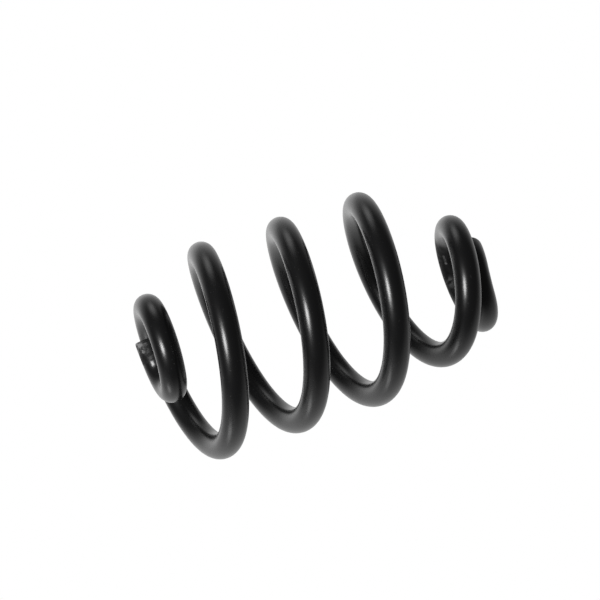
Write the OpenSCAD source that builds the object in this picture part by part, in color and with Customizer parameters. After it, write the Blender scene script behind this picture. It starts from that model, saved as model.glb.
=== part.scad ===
// Saddle spring: one round wire wound into a barrel-shaped compression spring, black coated.
// The axis of the body coils is Z. The small foot coil rests on z = 0, with the wire's cut end
// at the back, and the wire climbs left-handed, so it turns clockwise when seen from above.
// Positions along the wire are degrees of winding, counted from the cut end at the foot.
// Between two named positions the coil's radius and its pitch change evenly.

/* [Wire] */
// Diameter of the coated wire, mm
wire_d = 6.35; // [6.1:0.05:6.5]
// Bevel left on the rim of each cut end, mm
cut_bevel = 0.35; // [0.1:0.05:0.8]
// Winding from one cut end to the other, degrees
wound = 2045; // [1980:5:2050]

/* [Body coils] */
// Radius of the body coils, centre line, mm
body_r = 22.5; // [22:0.5:26]
// Rise of the body coils in one turn, mm
body_pitch = 20.5; // [19:0.5:26]
// Winding at which the full radius is reached, degrees
body_from = 450; // [430:5:470]
// Winding at which the full radius ends, degrees
body_to = 1405; // [1290:5:1410]

/* [Foot coil] */
// Radius of the almost straight end of the wire, centre line, mm
end_r = 32; // [28:1:34]
// Winding at which the almost straight end stops, degrees
end_to = 7.5; // [6:0.5:8]
// Radius of the sharp bend beside it, centre line, mm
sharp_r = 6; // [5.8:0.1:6.5]
// Winding at the sharp bend, degrees
sharp_at = 15; // [14:0.5:17]
// Radius where the sharp bend is over, centre line, mm
eased_r = 8.8; // [8.5:0.1:9.2]
// Winding where the sharp bend is over, degrees
eased_at = 45; // [40:5:50]
// Radius of the foot coil where it starts to open out, centre line, mm
foot_r = 7.9; // [7.6:0.1:8.4]
// Winding at which the foot coil starts to open out, degrees
foot_to = 135; // [125:5:140]
// Rise per turn of the almost straight end, mm
end_pitch = 10; // [6:0.5:12]
// Rise per turn at the sharp bend, mm
sharp_pitch = 1.8; // [1:0.1:2.4]
// Winding at which the foot coil is level, degrees
level_from = 60; // [50:5:80]
// Winding at which the foot coil starts to rise, degrees
level_to = 135; // [110:5:140]
// Winding at which the full pitch is reached, degrees
rise_to = 550; // [490:5:590]

/* [Top coil] */
// Rise per turn of the widest gap, below the top coil, mm
wide_pitch = 23.5; // [23:0.5:26]
// Winding at which the pitch starts to widen, degrees
wide_from = 1385; // [1370:5:1390]
// Winding at which the widest gap is reached, degrees
wide_at = 1545; // [1490:5:1590]
// Winding at which the pitch starts to close, degrees
wide_to = 1630; // [1615:5:1650]
// Radius at the first bend of the taper, centre line, mm
bend_r = 14.6; // [14.2:0.1:15]
// Winding at the first bend of the taper, degrees
bend_at = 1595; // [1580:5:1610]
// Radius where the wire starts to curl inwards, centre line, mm
curl_r = 14; // [13.8:0.1:14.4]
// Winding where the wire starts to curl inwards, degrees
curl_at = 1735; // [1725:5:1745]
// Radius of the top coil, centre line, mm
top_r = 9.6; // [9.3:0.1:9.8]
// Winding at which the top coil's radius is reached, degrees
top_from = 1895; // [1885:5:1905]
// Rise per turn where the top coil dips, mm
dip_pitch = -6.4; // [-7:0.1:-6]
// Winding at which the dip begins, degrees
dip_from = 1895; // [1885:5:1900]
// Winding at which the dip ends, degrees
dip_to = 1960; // [1955:5:1965]
// Rise per turn of the last stretch of wire, mm
tip_pitch = 13.5; // [10:0.5:15]
// Winding at which the last stretch begins, degrees
tip_from = 2005; // [1995:5:2010]

/* [Look] */
// Colour of the coating
coat_grey = 0.07; // [0.02:0.01:0.3]

/* [Hidden] */
// Compass angle of the cut end at the foot, degrees from +X
cut_az = 95;
// Flat sides around the wire
sides = 16;
// Steps along the wire, and the winding in each
steps = round(wound / 7.5);
step = wound / steps;
// The sides' corners lie a little outside the round, so that each slice has the round wire's area
corner_r = wire_d / 2 / sqrt(sin(360 / sides) * sides / (2 * PI));

// Radius of curvature, seen from above, at a winding
coil_radius = [
    [0, end_r],
    [end_to, end_r],
    [sharp_at, sharp_r],
    [eased_at, eased_r],
    [foot_to, foot_r],
    [body_from, body_r],
    [body_to, body_r],
    [bend_at, bend_r],
    [curl_at, curl_r],
    [top_from, top_r]
];
// Rise per turn at a winding
coil_pitch = [
    [0, end_pitch],
    [end_to, end_pitch],
    [sharp_at, sharp_pitch],
    [level_from, 0],
    [level_to, 0],
    [rise_to, body_pitch],
    [wide_from, body_pitch],
    [wide_at, wide_pitch],
    [wide_to, wide_pitch],
    [dip_from, dip_pitch],
    [dip_to, dip_pitch],
    [tip_from, tip_pitch]
];

// Unit vector outwards at a winding, and the way the wire runs there, seen from above
function outward(a) = [cos(cut_az - a), sin(cut_az - a), 0];
function onward(a) = [sin(cut_az - a), -cos(cut_az - a), 0];

// One step along the wire from winding a: a chord of the arc, and its rise
function chord(a) = 2 * lookup(a + step / 2, coil_radius) * sin(step / 2) * onward(a + step / 2)
    + [0, 0, lookup(a + step / 2, coil_pitch) * step / 360];

// The wire's centre line, begun at the cut end
loose = [
    for (i = 0, p = [0, 0, 0]; i <= steps; p = p + chord(i * step), i = i + 1) p
];
// Centre of the body coils, found at a ring inside them
mid = round((body_from + body_to) / 2 / step);
axis_at = loose[mid] - lookup(mid * step, coil_radius) * outward(mid * step);

// The way the wire runs in space, and the second direction of its slice
function run(a) = let (v = lookup(a, coil_radius) * 2 * PI * onward(a) + [0, 0, lookup(a, coil_pitch)])
    v / norm(v);
function slice(centre, a, r) = [
    for (k = [0 : sides - 1])
        centre + r * (cos(k * 360 / sides) * outward(a) + sin(k * 360 / sides) * cross(run(a), outward(a)))
];

// Slices from one cut end to the other, with a bevel at each end
slices = concat(
    [slice(loose[0], 0, corner_r - cut_bevel)],
    [slice(loose[0] + cut_bevel * run(0), 0, corner_r)],
    [for (i = [1 : steps - 1]) slice(loose[i], i * step, corner_r)],
    [slice(loose[steps] - cut_bevel * run(wound), wound, corner_r)],
    [slice(loose[steps], wound, corner_r - cut_bevel)]
);
skin = [for (s = slices) for (p = s) p];
lowest = min([for (p = skin) p[2]]);

module spring() {
    last = len(slices) - 1;
    color([coat_grey, coat_grey, coat_grey])
    translate([-axis_at[0], -axis_at[1], -lowest])
    polyhedron(
        points = skin,
        faces = concat(
            [for (k = [1 : sides - 2]) [0, k + 1, k]],
            [for (i = [0 : last - 1], k = [0 : sides - 1])
                let (n = (k + 1) % sides)
                [i * sides + k, i * sides + n, (i + 1) * sides + k]],
            [for (i = [0 : last - 1], k = [0 : sides - 1])
                let (n = (k + 1) % sides)
                [i * sides + n, (i + 1) * sides + n, (i + 1) * sides + k]],
            [for (k = [1 : sides - 2]) [last * sides, last * sides + k, last * sides + k + 1]]
        ),
        convexity = 20
    );
}

spring();
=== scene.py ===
# %% [markdown]
# # A saddle spring
# A saddle spring is one length of thick steel wire, wound into a barrel: two small end coils that sit
# on bolts, and three wide coils between them that do the springing. It is then coated all over in
# smooth semi-gloss black. This lesson winds the wire step by step, trims its two cut ends and gives it
# the coating.
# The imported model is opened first. It is the frame that the visible spring has to fit, so its box is
# kept for a comparison at the end.

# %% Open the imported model
from math import atan2, cos, pi, radians, sin

import bpy
from mathutils import Matrix, Vector
from mathutils.kdtree import KDTree


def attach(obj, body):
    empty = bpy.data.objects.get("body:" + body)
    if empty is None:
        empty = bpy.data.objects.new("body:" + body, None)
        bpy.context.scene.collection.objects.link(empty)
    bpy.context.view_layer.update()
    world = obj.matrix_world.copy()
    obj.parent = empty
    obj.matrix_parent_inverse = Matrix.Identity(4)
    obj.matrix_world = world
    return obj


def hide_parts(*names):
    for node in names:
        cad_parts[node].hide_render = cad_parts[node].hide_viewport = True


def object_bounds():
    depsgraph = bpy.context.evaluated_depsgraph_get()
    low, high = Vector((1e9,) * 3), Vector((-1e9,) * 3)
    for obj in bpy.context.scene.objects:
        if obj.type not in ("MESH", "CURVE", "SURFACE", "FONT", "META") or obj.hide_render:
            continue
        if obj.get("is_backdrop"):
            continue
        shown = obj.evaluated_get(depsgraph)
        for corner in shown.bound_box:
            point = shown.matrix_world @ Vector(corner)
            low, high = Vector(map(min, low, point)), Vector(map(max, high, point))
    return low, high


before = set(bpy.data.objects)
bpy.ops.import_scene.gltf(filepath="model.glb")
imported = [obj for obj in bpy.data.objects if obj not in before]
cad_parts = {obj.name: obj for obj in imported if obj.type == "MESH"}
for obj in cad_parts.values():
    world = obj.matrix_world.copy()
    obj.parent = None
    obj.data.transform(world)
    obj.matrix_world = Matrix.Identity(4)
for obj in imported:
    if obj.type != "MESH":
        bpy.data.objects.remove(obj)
cad_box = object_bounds()
MM = 0.001
print("packed spring, mm:", [round((hi - lo) / MM, 2) for lo, hi in zip(*cad_box)])

# %% [markdown]
# The camera comes next, because every later choice is judged through it. The spring is seen from the
# side, a little from below, and the picture is rolled so that the spring's axis runs almost level.
# The place could be found by eye, but a long lens makes that slow, so it was worked out from the
# outline of the coils: the lens, the tilt and the roll are the ones at which all of them line up.

# %% Camera
picture_px = 600
focal_px = 2263.5
looks_up = radians(14.428)
rolled = radians(72.017)

camera_data = bpy.data.cameras.new("camera")
camera_data.sensor_width = 36
camera_data.lens = camera_data.sensor_width * focal_px / picture_px
camera = bpy.data.objects.new("camera", camera_data)
bpy.context.scene.collection.objects.link(camera)
camera.location = Vector((-4.87, -529.66, -96.15)) * MM
tilt = Matrix.Rotation(pi / 2 + looks_up, 3, "X")
roll = Matrix.Rotation(rolled, 3, "Z")
camera.rotation_euler = (tilt @ roll).to_euler()
bpy.context.scene.camera = camera
print("lens", round(camera_data.lens, 1), "mm, camera", round(camera.location.length, 3), "m away")

# %% [markdown]
# A spring winder pushes straight wire against a set of rollers. How hard they press sets the radius
# of the bend, and a wedge sets the rise. The same two settings make this wire: a radius and a rise
# for each angle wound so far, counted in degrees from the cut end at the foot. Between the angles
# named here both change evenly, which gives smooth tapers with only a few numbers.

# %% Winder settings
wire_r = 6.35 / 2 * MM
wound = 2045
steps = round(wound / 3.75)
step = wound / steps
cut_azimuth = 95
coil_radius = [
    (0, 32), (7.5, 32), (15, 6), (45, 8.8), (135, 7.9),
    (450, 22.5), (1405, 22.5), (1595, 14.6), (1735, 14), (1895, 9.6),
]
coil_rise = [
    (0, 10), (7.5, 10), (15, 1.8), (60, 0), (135, 0), (550, 20.5), (1385, 20.5),
    (1545, 23.5), (1630, 23.5), (1895, -6.4), (1960, -6.4), (2005, 13.5),
]
body_from, body_to = 450, 1405


def setting(table, angle):
    """The setting in metres at an angle, found between the two named ones."""
    for (a, u), (b, v) in zip(table, table[1:]):
        if angle <= b:
            return (u + (v - u) * max(angle - a, 0) / (b - a)) * MM
    return table[-1][1] * MM


def outward(angle):
    """The level direction from the coil's axis to the wire."""
    turned = radians(cut_azimuth - angle)
    return Vector((cos(turned), sin(turned), 0))


def onward(angle):
    """The level direction in which the wire runs: clockwise from above."""
    turned = radians(cut_azimuth - angle)
    return Vector((sin(turned), -cos(turned), 0))


def climb(angle):
    """How steeply the wire climbs, in radians."""
    return atan2(setting(coil_rise, angle), 2 * pi * setting(coil_radius, angle))


foot_coil, body_coil = setting(coil_radius, 120), setting(coil_radius, 900)
print("the foot coil bends to", round(foot_coil / MM, 1), "mm and the body to", round(body_coil / MM, 1), "mm")

# %% [markdown]
# The settings are added up into the places that the wire's centre passes. Each step is a short chord
# of the bend and its share of the rise. The row of places is then moved so that the body coils stand
# round the Z axis and the foot coil rests on the floor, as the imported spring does.

# %% Centre line
places = [Vector()]
for i in range(steps):
    half_way = (i + 0.5) * step
    chord = 2 * setting(coil_radius, half_way) * sin(radians(step) / 2)
    rise = setting(coil_rise, half_way) * step / 360
    places.append(places[-1] + chord * onward(half_way) + Vector((0, 0, rise)))

middle = round((body_from + body_to) / 2 / step)
body_axis = places[middle] - setting(coil_radius, middle * step) * outward(middle * step)
floor_gap = min(p.z for p in places) - wire_r
places = [p - Vector((body_axis.x, body_axis.y, floor_gap)) for p in places]
lengths = [0.0]
for a, b in zip(places, places[1:]):
    lengths.append(lengths[-1] + (b - a).length)
print("wire length", round(lengths[-1] / MM), "mm in", steps, "steps")

# %% [markdown]
# Now the wire itself is wound. A curve with a round bevel would give a tube in one go, but then the
# cut ends can't be shaped. So a round face the size of the wire is extruded along the places and
# turned after each step, just as the winder does it. Subdivision later draws a 20-sided ring in by
# about 1%, so the ring starts that much larger.

# %% Wind the wire
ring_sides = 20
ring_r = wire_r / (0.75 + 0.25 * cos(2 * pi / ring_sides))


def turn(axis, angle, centre):
    """Turns what is selected. With no window the operator turns the other way, so the sign is changed."""
    bpy.ops.transform.rotate(value=-angle, orient_axis=axis, center_override=centre)


def facing(angle):
    """The turn that makes a flat ring face along the wire."""
    level, run = outward(angle), onward(angle) * cos(climb(angle)) + Vector((0, 0, sin(climb(angle))))
    return Matrix((level, run.cross(level), run)).transposed()


bpy.ops.object.select_all(action="DESELECT")
bpy.ops.mesh.primitive_circle_add(
    vertices=ring_sides, radius=ring_r, fill_type="NGON", location=places[0], rotation=facing(0).to_euler()
)
wire = bpy.context.object
wire.name = "wire"
bpy.ops.object.transform_apply(location=True, rotation=True, scale=True)
bpy.ops.object.mode_set(mode="EDIT")
bpy.ops.mesh.select_all(action="SELECT")
for i in range(steps):
    here, there = places[i], places[i + 1]
    bpy.ops.mesh.extrude_region_move(TRANSFORM_OT_translate={"value": there - here})
    turn("Z", -radians(step), there)
    tipped = climb((i + 1) * step) - climb(i * step)
    if abs(tipped) > 1e-6:
        lean = outward((i + 1) * step)
        turn("X", -tipped * lean.x, there)
        turn("Y", -tipped * lean.y, there)
bpy.ops.object.mode_set(mode="OBJECT")
print("wound", len(wire.data.vertices), "points and", len(wire.data.polygons), "faces")

# %% [markdown]
# The wire was sheared from a coil of stock, which leaves two flat ends with a slightly rolled rim.
# Each end is the one face with more than four corners. Its rim is bevelled, and an inset ring inside
# it keeps the face flat when the mesh is subdivided.

# %% Trim the two cut ends
rim = 0.35 * MM
face_margin = 0.5 * MM


def select_ends():
    """Selects only the two end faces, which are the ones with many corners."""
    bpy.ops.mesh.select_all(action="DESELECT")
    bpy.ops.object.mode_set(mode="OBJECT")
    for face in wire.data.polygons:
        face.select = len(face.vertices) > 4
    bpy.ops.object.mode_set(mode="EDIT")


bpy.ops.object.mode_set(mode="EDIT")
bpy.ops.mesh.select_mode(type="FACE")
select_ends()
bpy.ops.mesh.bevel(offset=rim, segments=2, affect="EDGES")
select_ends()
bpy.ops.mesh.inset(thickness=face_margin)
bpy.ops.mesh.select_all(action="SELECT")
bpy.ops.mesh.normals_make_consistent(inside=False)
bpy.ops.object.mode_set(mode="OBJECT")
print("trimmed ends, now", len(wire.data.polygons), "faces")

# %% [markdown]
# One level of subdivision rounds the 20 sides to 40 and smooths the rims. It is applied at once, so
# that the mesh itself is round and not only its shading.

# %% Round it off
rounding = wire.modifiers.new("rounding", "SUBSURF")
rounding.levels = rounding.render_levels = 1
bpy.ops.object.modifier_apply(modifier=rounding.name)
bpy.ops.object.shade_smooth()
print("rounded to", len(wire.data.polygons), "faces")

# %% [markdown]
# The coating looks different near the cut ends, so the material has to know how far along the wire
# it is. Object coordinates can't tell that, because the coils lie over each other. Each point is
# therefore given its distance from the foot end as an attribute, read off the nearest place on the
# centre line.

# %% Distance along the wire
finder = KDTree(len(places) * 2 - 1)
for i, (p, s) in enumerate(zip(places, lengths)):
    finder.insert(p, i)
for i in range(steps):
    finder.insert((places[i] + places[i + 1]) / 2, steps + 1 + i)
finder.balance()
marks = lengths + [(a + b) / 2 for a, b in zip(lengths, lengths[1:])]
along = wire.data.attributes.new("along", "FLOAT", "POINT")
for vertex in wire.data.vertices:
    along.data[vertex.index].value = marks[finder.find(vertex.co)[1]] / MM
print("marked", len(wire.data.vertices), "points, 0 to", round(lengths[-1] / MM), "mm")

# %% [markdown]
# A material is a net of nodes, and a net written out node by node is hard to read. This small class
# wraps one socket, so that a sum of sockets can be written as a sum. Everything that isn't a sum goes
# through `node`, which sets a node's own settings first and then its sockets.

# %% A short way to write node nets
class Signal:
    """One output socket of a node tree."""

    def __init__(self, tree, socket=None):
        self.tree = tree
        self.socket = socket

    def node(self, kind, settings, sockets, out=0):
        """Adds a node and returns one of its outputs."""
        made = self.tree.nodes.new(kind)
        for name, value in settings.items():
            setattr(made, name, value)
        for name, value in sockets.items():
            if isinstance(value, Signal):
                self.tree.links.new(value.socket, made.inputs[name])
            else:
                made.inputs[name].default_value = value
        return Signal(self.tree, made.outputs[out] if made.outputs else None)

    def maths(self, operation, a, b):
        return self.node("ShaderNodeMath", {"operation": operation}, {0: a, 1: b})

    def __add__(self, other):
        return self.maths("ADD", self, other)

    def __sub__(self, other):
        return self.maths("SUBTRACT", self, other)

    def __rsub__(self, other):
        return self.maths("SUBTRACT", other, self)

    def __mul__(self, other):
        return self.maths("MULTIPLY", self, other)

    __radd__ = __add__
    __rmul__ = __mul__


def new_material(name):
    """An empty material, and a Signal that starts its net."""
    material = bpy.data.materials.new(name)
    material.use_nodes = True
    material.node_tree.nodes.clear()
    return material, Signal(material.node_tree)


print("node nets can be written as sums")

# %% [markdown]
# The finish is a thin black coating, hard and smooth, with a clean highlight. It is mixed from two
# shaders: a glossy one for sound coating, and a dull one for where it went on thin and mottled, which
# is at the foot's cut end and on a stretch of the top coil. Small things keep it from looking like
# plain black plastic: a faint waviness from the way it flowed, specks of dust and a scuff in the top
# coil. Two lighter marks are painted light: a painted sheen on the underside beside the foot's cut
# end, and a painted highlight, a small light streak in the top coil. They use noise on Object coordinates,
# kept in place by the distance along the wire, by the height, or by the distance from a point.

# %% Black coating
coating, net = new_material("black coating")
spot = net.node("ShaderNodeTexCoord", {}, {}, "Object")
length_mm = net.node("ShaderNodeAttribute", {"attribute_name": "along"}, {}, "Fac")


def noise(size, detail, roughness=0.5):
    """Cloudy noise with patches about this many metres across, from 0 to 1."""
    return net.node("ShaderNodeTexNoise", {}, {
        "Vector": spot, "Scale": 1 / size, "Detail": detail, "Roughness": roughness,
    })


def ramp(value, low, high):
    """0 at low, 1 at high, with a soft change between."""
    return net.node("ShaderNodeMapRange", {"interpolation_type": "SMOOTHSTEP", "clamp": True}, {
        "Value": value, "From Min": low, "From Max": high, "To Min": 0.0, "To Max": 1.0,
    })


# Where the coating is thin: beside the foot's cut end, and from 58 to 34 mm before the wire's other end
wire_mm = lengths[-1] / MM
thin_foot = ramp(length_mm, 5.9, 5.2)
thin_top = ramp(length_mm, wire_mm - 58, wire_mm - 54) - ramp(length_mm, wire_mm - 40, wire_mm - 34)
thin = thin_foot + thin_top
# Patterns of the coating: the mottling of the thin parts, slow waves, fine peel and specks of dust
mottle = ramp(noise(1.1 * MM, 3), 0.42, 0.62)
waviness = noise(3.0 * MM, 2)
peel = noise(0.5 * MM, 2)
specks = ramp(noise(0.35 * MM, 0), 0.80, 0.84)
# A painted sheen: a lighter patch on the foot's underside, close to the cut end, that stands in for the light
# falling on that side
height_above_floor = net.node("ShaderNodeSeparateXYZ", {}, {"Vector": spot}, "Z")
painted_sheen = ramp(length_mm, 3.6, 2.2) * ramp(height_above_floor, 1.7 * MM, 0.9 * MM)


def near(place, soft, full):
    """1 within `full` of a place on the wire and 0 beyond `soft`, all in millimetres."""
    apart = net.node("ShaderNodeVectorMath", {"operation": "DISTANCE"}, {0: spot, 1: place * MM}, "Value")
    return ramp(apart, soft * MM, full * MM)


# A painted highlight: a small light streak in the top coil, painted where a glint shows on the strand
glint_from, glint_to = Vector((-4.1, 11.4, 81.9)), Vector((-2.3, 12.4, 82.3))
painted_glint = 0.8 * sum(near(glint_from.lerp(glint_to, i / 4), 0.48, 0.15) for i in range(5))
scuff = near(Vector((2.6, 13.9, 82.5)), 1.9, 0.6) * mottle

# The grey lightens the coating for real wear and dust, and also for the painted sheen and the painted
# highlight
sound_black = (0.0056, 0.0056, 0.0059, 1)
grey_for_wear_and_painted_light = (0.22, 0.22, 0.22, 1)
wear_and_painted_light = thin * mottle * 0.06 + specks * 0.11 + painted_sheen * (0.1 + 0.9 * mottle)
wear_and_painted_light = wear_and_painted_light + painted_glint * (0.3 + mottle) + 0.4 * scuff
colour = net.node("ShaderNodeMix", {"data_type": "RGBA"}, {0: wear_and_painted_light, 6: sound_black, 7: grey_for_wear_and_painted_light}, 2)
roughness = 0.25 + 0.05 * waviness + thin * 0.15
height = 0.5 * waviness + 0.05 * peel + thin * (1.6 * mottle)
bump = net.node("ShaderNodeBump", {}, {"Strength": 1.0, "Distance": 0.02 * MM, "Height": height})
gloss = net.node("ShaderNodeBsdfPrincipled", {}, {
    "Base Color": colour, "Roughness": roughness, "Normal": bump, "IOR": 1.5,
})
dull = net.node("ShaderNodeBsdfPrincipled", {}, {
    "Base Color": colour, "Roughness": 0.6, "Normal": bump, "Specular IOR Level": 0.08,
})
skin = net.node("ShaderNodeMixShader", {}, {0: thin * (0.6 + 0.4 * mottle), 1: gloss, 2: dull})
net.node("ShaderNodeOutputMaterial", {}, {"Surface": skin})
wire.data.materials.clear()
wire.data.materials.append(coating)
print("coating has", len(coating.node_tree.nodes), "nodes")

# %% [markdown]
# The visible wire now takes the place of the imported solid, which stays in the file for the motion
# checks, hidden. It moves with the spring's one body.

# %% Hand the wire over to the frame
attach(wire, "root")
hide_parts("spring")
print("wire stands for the packed spring")

# %% [markdown]
# The floor is a plain pale sheet that catches the spring's soft shadow. The camera of the main
# picture stands a little below it, so from underneath the floor is clear, and it neither blocks the
# lamps nor shows in the reflections. To the camera it also glows a little, which brings its open
# part up to the white of the background.

# %% Floor
bpy.ops.object.select_all(action="DESELECT")
floor_side = 4
bpy.ops.mesh.primitive_plane_add(size=floor_side)
floor = bpy.context.object
floor.name = "floor"
floor_paint, net = new_material("floor paint")
sheet = net.node("ShaderNodeBsdfDiffuse", {}, {"Color": (0.8, 0.8, 0.8, 1)})
glow = net.node("ShaderNodeEmission", {}, {"Color": (1, 1, 1, 1), "Strength": 0.55})
lit = net.node("ShaderNodeAddShader", {}, {0: sheet, 1: glow})
clear = net.node("ShaderNodeBsdfTransparent", {}, {})
underside = net.node("ShaderNodeNewGeometry", {}, {}, "Backfacing")
seen = net.node("ShaderNodeMixShader", {}, {0: underside, 1: lit, 2: clear})
net.node("ShaderNodeOutputMaterial", {}, {"Surface": seen})
floor.data.materials.append(floor_paint)
floor.visible_glossy = False
floor.visible_diffuse = False
floor.visible_transmission = False
floor.visible_shadow = False
floor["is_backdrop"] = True
print("floor laid at z = 0")

# %% [markdown]
# A black spring shows little of its own colour: what is seen is the room in its coating. There is a
# wide white surface behind it, which runs from dark near the camera to bright far away, and two sides
# of it are in half shade. These are smooth changes with direction, so the world is put together from
# three gradients. A lowest level stands for the little that a dark room throws back. The camera
# itself sees plain white instead.

# %% World
world = bpy.data.worlds.new("studio")
bpy.context.scene.world = world
world.use_nodes = True
world.node_tree.nodes.clear()
net = Signal(world.node_tree)
bright_side, brightest = Vector((0.403, 0.869, 0.288)), 0.93
dim_side, dimmed_by = Vector((0.116, 0.457, 0.882)), 0.22
low_side, lowered_by = Vector((0.845, -0.216, 0.490)), 0.12
darkest = 0.075
direction = net.node("ShaderNodeTexCoord", {}, {}, "Generated")


def gradient(side, low, high):
    """Rises from 0 to 1 as the direction turns to a side. Both limits are of their dot product."""
    towards = net.node("ShaderNodeVectorMath", {"operation": "DOT_PRODUCT"}, {0: direction, 1: side}, "Value")
    return ramp(towards, low, high)


light = brightest * gradient(bright_side, -0.40, 0.891)
light = light - dimmed_by * gradient(dim_side, 0.488, 0.89) - lowered_by * gradient(low_side, 0.55, 1.0)
level = net.maths("MAXIMUM", light, darkest)
room = net.node("ShaderNodeBackground", {}, {"Color": (1, 1, 1, 1), "Strength": level})
white = net.node("ShaderNodeBackground", {}, {"Color": (1, 1, 1, 1), "Strength": 1.0})
camera_ray = net.node("ShaderNodeLightPath", {}, {}, "Is Camera Ray")
backdrop = net.node("ShaderNodeMixShader", {}, {0: camera_ray, 1: room, 2: white})
net.node("ShaderNodeOutputWorld", {}, {"Surface": backdrop})
print("world is brightest towards", [round(c, 2) for c in bright_side])

# %% [markdown]
# Round softboxes finish the light. The key lamp draws the long highlights along the front strands.
# The side lamp is wide and has a brighter heart, for the faint second highlight near the top of each
# coil. The table lamp makes the small spot low on each coil, and two wide and weak ones lift the far
# and the low sides. The floor lamp hangs over the spring and throws the soft shadow. Light linking
# lets it light the floor alone, and the others the coating alone, so that none leaves an edge of light
# on the floor.

# %% Lamps
def only(name, thing):
    """A collection with one thing in it, for a lamp that lights nothing else."""
    lit = bpy.data.collections.new(name)
    lit.objects.link(thing)
    return lit


def softbox(name, towards, distance, across, radiance, lit):
    """A round lamp that faces the middle of the spring, given by the radiance that it shows."""
    data = bpy.data.lights.new(name, "AREA")
    data.shape = "DISK"
    data.size = across
    data.energy = radiance * pi * pi * across * across / 4
    lamp = bpy.data.objects.new(name, data)
    bpy.context.scene.collection.objects.link(lamp)
    lamp.location = middle_of_spring + towards.normalized() * distance
    lamp.rotation_euler = towards.to_track_quat("Z", "Y").to_euler()
    lamp.visible_camera = False
    lamp.light_linking.receiver_collection = lit
    print(name, round(data.energy, 2), "W")


middle_of_spring = Vector((0, 0, (cad_box[0].z + cad_box[1].z) / 2))
coating_only, floor_only = only("coating only", wire), only("floor only", floor)
sideways = Vector((-0.99, 0.129, -0.048))
# Each lamp: its name, the way to it, its distance and width in metres, its radiance, and what it lights
softbox("key lamp", Vector((-0.185, -0.701, -0.689)), 1.5, 0.55, 28, coating_only)
softbox("side lamp", sideways, 0.6, 0.44, 0.55, coating_only)
softbox("side lamp heart", sideways, 0.59, 0.24, 1.1, coating_only)
softbox("table lamp", Vector((0.705, 0.26, -0.66)), 0.6, 0.20, 2.2, coating_only)
softbox("far lamp", Vector((-0.23, 0.966, -0.118)), 0.6, 0.56, 0.22, coating_only)
softbox("low lamp", Vector((0.692, 0.094, -0.716)), 0.6, 0.60, 0.17, coating_only)
softbox("floor lamp", Vector((-0.3, -0.3, 1.0)), 0.6, 0.35, 6, floor_only)

# %% Finish
bpy.context.scene.view_settings.view_transform = "Standard"
sizes = {
    "cad": [list(corner) for corner in cad_box],
    "visual": [list(corner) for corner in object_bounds()],
}
print("visible spring, mm:", [round((hi - lo) / MM, 2) for lo, hi in zip(*sizes["visual"])])
